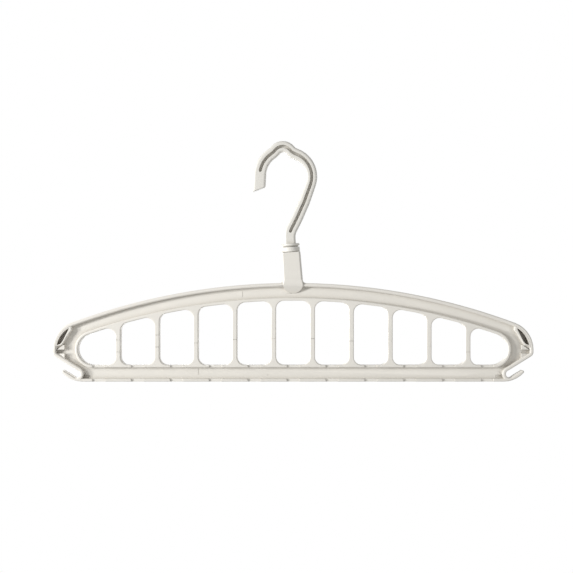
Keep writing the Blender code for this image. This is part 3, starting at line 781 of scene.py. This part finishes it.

# Painted shade: a darker colour mixed in where the occlusion finds a closed corner.
corners = add(group, "ShaderNodeAmbientOcclusion", samples=8)
corners.inputs["Distance"].default_value = PAINTED_SHADE_REACH
closed = spread(group, corners.outputs["AO"], CLOSED, OPEN, 1.0, 0.0)
patchy = spread(group, clouds, 0.35, 0.65, WEAKEST_SHADE, FULLEST_SHADE)
painted_shade = number(group, "MULTIPLY", number(group, "MULTIPLY", closed, patchy), given["Painted Shade Amount"])
painted_shade_mix = add(group, "ShaderNodeMix", data_type="RGBA")
feed(group, painted_shade, painted_shade_mix.inputs["Factor"])
feed(group, toned.outputs[0], painted_shade_mix.inputs[MIX_A])
feed(group, given["Painted Shade"], painted_shade_mix.inputs[MIX_B])
feed(group, painted_shade_mix.outputs[MIX_RESULT], result["Colour"])
print("painted shade lies within", PAINTED_SHADE_REACH * 1000, "mm of a corner")

# %% [markdown]
# ### Satin and grain
# The sheen varies a little where hands have polished the plastic. The grain is noise at less than
# half a millimetre. It is too fine to see at arm's length, but it breaks up the highlights.

# %% Satin and grain
POLISH_SCALE = 75.0

polish = noise(given["Place"], POLISH_SCALE, detail=3)
satin = number(group, "ADD", given["Satin"], swing(polish, given["Satin Spread"]))
feed(group, satin, result["Roughness"])
feed(group, noise(given["Place"], given["Grain Scale"], detail=2), result["Height"])
print("plastic group has", len(group.nodes), "nodes")

# %% [markdown]
# ## Two plastics
# The frame is a warm off-white. The hook and its bush came from another machine, and are a touch
# cooler and smoother. The parting line, where the two halves of the frame's mould met, runs round
# the middle of its thickness. It is a hair's breadth, so it is drawn as a fine raised line by the
# bump.

# %% Make the plastics
LINE_HALF_WIDTH = 0.00008
LINE_FADE = 0.00022
LINE_HEIGHT = 3.0
RELIEF_STRENGTH = 0.25
RELIEF_DISTANCE = 0.00003


def plastic(name, colour, painted_shade_amount, cloud_amount, satin_value, parting_line):
    """A Principled material that places the plastic group with its own values."""
    material = bpy.data.materials.new(name)
    material.use_nodes = True
    tree = material.node_tree
    shader = tree.nodes["Principled BSDF"]
    place = add(tree, "ShaderNodeTexCoord").outputs["Object"]
    look = add(tree, "ShaderNodeGroup", node_tree=group)
    feed(tree, place, look.inputs["Place"])
    look.inputs["Colour"].default_value = (*colour, 1)
    # How strong the painted shade in the inner corners is.
    look.inputs["Painted Shade Amount"].default_value = painted_shade_amount
    look.inputs["Cloud Amount"].default_value = cloud_amount
    look.inputs["Satin"].default_value = satin_value
    feed(tree, look.outputs["Colour"], shader.inputs["Base Color"])
    feed(tree, look.outputs["Roughness"], shader.inputs["Roughness"])
    height = look.outputs["Height"]
    if parting_line:
        split = add(tree, "ShaderNodeSeparateXYZ")
        feed(tree, place, split.inputs[0])
        off_middle = number(tree, "ABSOLUTE", split.outputs["Y"], 0.0)
        line = spread(tree, off_middle, LINE_HALF_WIDTH, LINE_FADE, LINE_HEIGHT, 0.0)
        height = number(tree, "ADD", height, line)
    relief = add(tree, "ShaderNodeBump")
    relief.inputs["Strength"].default_value = RELIEF_STRENGTH
    relief.inputs["Distance"].default_value = RELIEF_DISTANCE
    feed(tree, height, relief.inputs["Height"])
    feed(tree, relief.outputs[0], shader.inputs["Normal"])
    return material


# Both plastics get the same painted shade in their inner corners.
frame_plastic = plastic("satin_ivory_frame", colour=(0.757, 0.730, 0.674), painted_shade_amount=0.50,
                        cloud_amount=0.018, satin_value=0.42, parting_line=True)
hook_plastic = plastic("satin_ivory_hook", colour=(0.748, 0.728, 0.676), painted_shade_amount=0.50,
                       cloud_amount=0.015, satin_value=0.38, parting_line=False)
for piece, material in ((moulding, frame_plastic), (hook, hook_plastic), (bush, hook_plastic)):
    piece.data.materials.clear()
    piece.data.materials.append(material)
print("plastics:", frame_plastic.name, hook_plastic.name)

# %% [markdown]
# ## The white world
# The picture was taken on white, so the world is white to the camera and in reflections, and
# gives a softer light otherwise. The Light Path node tells the kinds of ray apart.

# %% White world
WHITE = (1, 1, 1, 1)
WORLD_STRENGTH = 0.33


def seen_directly(tree):
    """One for camera, glossy and transmission rays, and zero for the rest."""
    path = add(tree, "ShaderNodeLightPath").outputs
    mirrored = number(tree, "MAXIMUM", path["Is Glossy Ray"], path["Is Transmission Ray"])
    return number(tree, "MAXIMUM", mirrored, path["Is Camera Ray"])


def mix(tree, share, first, second, surface):
    """Mix two shaders by a share, into the surface of the world or a material."""
    chooser = add(tree, "ShaderNodeMixShader")
    for value, socket in zip((share, first, second), chooser.inputs):
        feed(tree, value, socket)
    feed(tree, chooser.outputs[0], surface)


world = bpy.data.worlds.new("white_studio")
bpy.context.scene.world = world
world.use_nodes = True
tree = world.node_tree
soft = tree.nodes["Background"]
soft.inputs["Color"].default_value = WHITE
soft.inputs["Strength"].default_value = WORLD_STRENGTH
white = add(tree, "ShaderNodeBackground")
white.inputs["Color"].default_value = WHITE
white.inputs["Strength"].default_value = 1.0
mix(tree, seen_directly(tree), soft.outputs[0], white.outputs[0],
    tree.nodes["World Output"].inputs["Surface"])
print("the world lights the hanger at", WORLD_STRENGTH)

# %% [markdown]
# ## The floor
# A pale floor lies well below the hanger. It catches the shadow near the hanger and fades to the
# same white further out, so no horizon shows. The fade is a glow that only the camera and the
# reflections see, so it is kept out of the sampling of lamps.

# %% Pale floor
FLOOR_HEIGHT = -0.55
FLOOR_SIZE = 8
FLOOR_COLOUR = (0.85, 0.85, 0.85, 1)
FLOOR_ROUGHNESS = 0.9
FADE_START = 0.10
FADE_END = 0.50
GLOW_NEAR = 0.55

bpy.ops.object.select_all(action="DESELECT")
bpy.ops.mesh.primitive_plane_add(size=FLOOR_SIZE, location=(0, 0, FLOOR_HEIGHT))
floor = bpy.context.object
floor.name = "studio_floor"
pale = bpy.data.materials.new("pale_floor")
pale.use_nodes = True
tree = pale.node_tree
shader = tree.nodes["Principled BSDF"]
shader.inputs["Base Color"].default_value = FLOOR_COLOUR
shader.inputs["Roughness"].default_value = FLOOR_ROUGHNESS
away = add(tree, "ShaderNodeVectorMath", operation="LENGTH")
feed(tree, add(tree, "ShaderNodeTexCoord").outputs["Object"], away.inputs[0])
fade = spread(tree, away.outputs["Value"], FADE_START, FADE_END, GLOW_NEAR, 1.0)
glow = add(tree, "ShaderNodeEmission")
glow.inputs["Color"].default_value = WHITE
mix(tree, number(tree, "MULTIPLY", fade, seen_directly(tree)), shader.outputs[0],
    glow.outputs[0], tree.nodes["Material Output"].inputs["Surface"])
pale.cycles.emission_sampling = "NONE"
floor.data.materials.append(pale)
print("the floor lies", -FLOOR_HEIGHT, "m below the crown of the hook")

# %% [markdown]
# ## The lamps
# The struts and rims are bright on their left and dark on their right, and the dark lines are
# thin and crisp. So the main light comes from the left, low across the face of the hanger, and
# isn't very large. A second one a little higher, a big soft one at the right and one behind fill
# the shadows. Each lamp is narrowed as if through a honeycomb grid, so that the floor below it
# stays calm.

# %% Place the lamps
LAMP_AIM = Vector((0.01, 0, -0.14))
LAMP_DISTANCE = 2.0
LAMP_SPREAD = math.radians(60)
# Degrees round from the left towards the camera, degrees up, size in metres, watts
LAMPS = {
    "left_low": (24, 0, 0.28, 2.72),
    "left_high": (34, 14, 0.28, 1.94),
    "right_soft": (142, -8, 0.8, 1.10),
    "behind": (-72, -6, 1.4, 3.00),
}


def lamp(name, turn, rise, size, power):
    """A round soft lamp that looks at the hanger and isn't seen itself."""
    turn, rise = math.radians(turn), math.radians(rise)
    level = math.cos(rise)
    toward = Vector((-math.cos(turn) * level, -math.sin(turn) * level, math.sin(rise)))
    bpy.ops.object.light_add(type="AREA", location=LAMP_AIM + toward * LAMP_DISTANCE)
    light = bpy.context.object
    light.name = name
    light.data.shape = "DISK"
    light.data.size = size
    light.data.energy = power
    light.data.spread = LAMP_SPREAD
    light.rotation_euler = (-toward).to_track_quat("-Z", "Y").to_euler()
    light.visible_camera = False


for name, values in LAMPS.items():
    lamp(name, *values)
bpy.context.scene.view_settings.view_transform = "Standard"
print(len(LAMPS), "lamps,", round(sum(values[3] for values in LAMPS.values()), 1), "watts")
